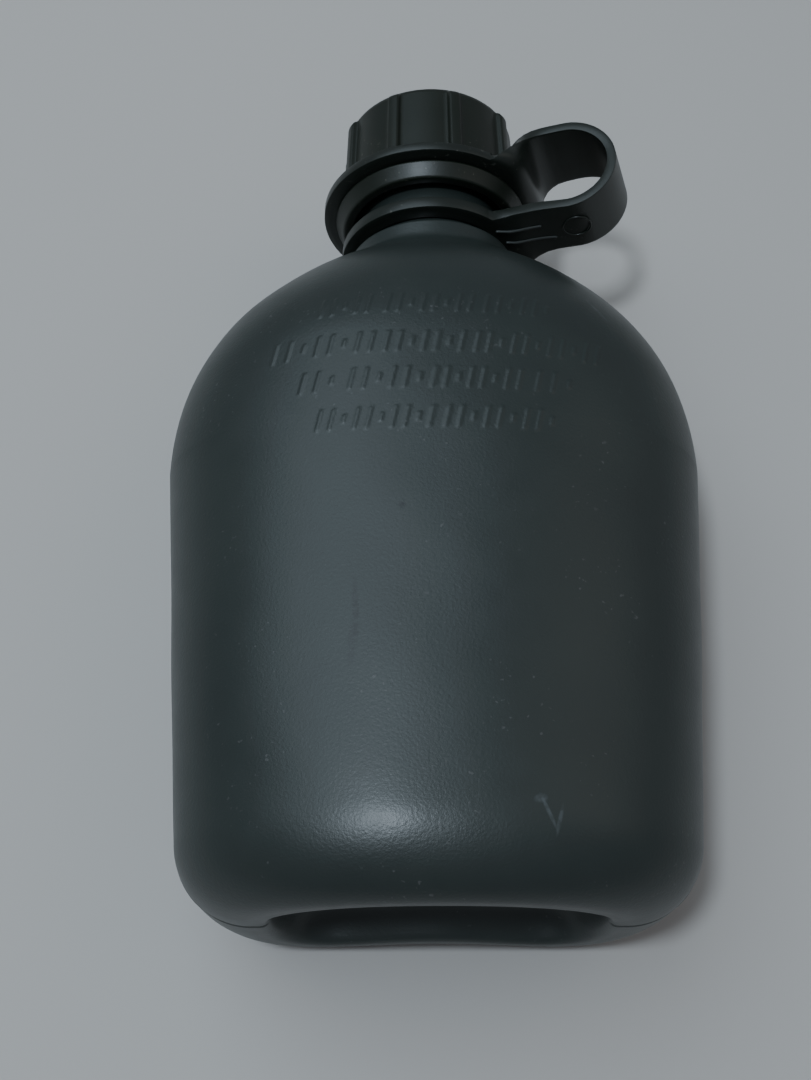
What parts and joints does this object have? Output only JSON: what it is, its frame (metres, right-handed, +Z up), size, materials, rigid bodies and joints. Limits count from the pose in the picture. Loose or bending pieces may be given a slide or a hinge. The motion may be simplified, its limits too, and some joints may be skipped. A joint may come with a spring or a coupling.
{
  "type": "canteen",
  "caption": "Oval-bodied moulded drinking bottle with a concave back and recessed foot, a ribbed screw cap and a looped strap that keeps the cap.",
  "frame": {"origin": "under the middle of the bounding box, on the surface that the hollow back rests on", "axes": "+X to the right, +Y from the foot to the cap, +Z up out of the convex front"},
  "size_m": [0.1286, 0.212, 0.0777],
  "materials": {
    "body": "fine orange-peel, matte",
    "cap": "semi-gloss moulded",
    "strap": "semi-gloss flexible",
    "gasket": "matte"
  },
  "bodies": {
    "bottle": {"canteen_body": "body", "canteen_shoulder": "body", "canteen_neck": "body"},
    "strap_lower": {"strap_neck_half": "strap"},
    "strap_upper": {"strap_cap_half": "strap"},
    "seal": {"cap_gasket": "gasket"},
    "closure": {"cap": "cap"}
  },
  "joints": [
    {"name": "strap_swivel", "type": "hinge", "parent": "bottle", "child": "strap_lower", "pos_m": [0, 0.0673, 0.03875], "axis": [0, 1, 0], "continuous": true},
    {"name": "cap_lift", "type": "slide", "parent": "strap_lower", "child": "strap_upper", "axis": [0, 1, 0], "range_m": [0, 0.02857]},
    {"name": "seal_hold", "type": "hinge", "parent": "strap_upper", "child": "seal", "pos_m": [0, 0.102, 0.03875], "axis": [0, 1, 0], "continuous": true},
    {"name": "cap_turn", "type": "hinge", "parent": "seal", "child": "closure", "pos_m": [0, 0.094, 0.03875], "axis": [0, 1, 0], "range_deg": [0, 1620]}
  ],
  "couplings": [
    {"joint": "cap_turn", "follows": "cap_lift", "rad_per_m": 989.48},
    {"joint": "seal_hold", "follows": "strap_swivel", "ratio": -1}
  ]
}
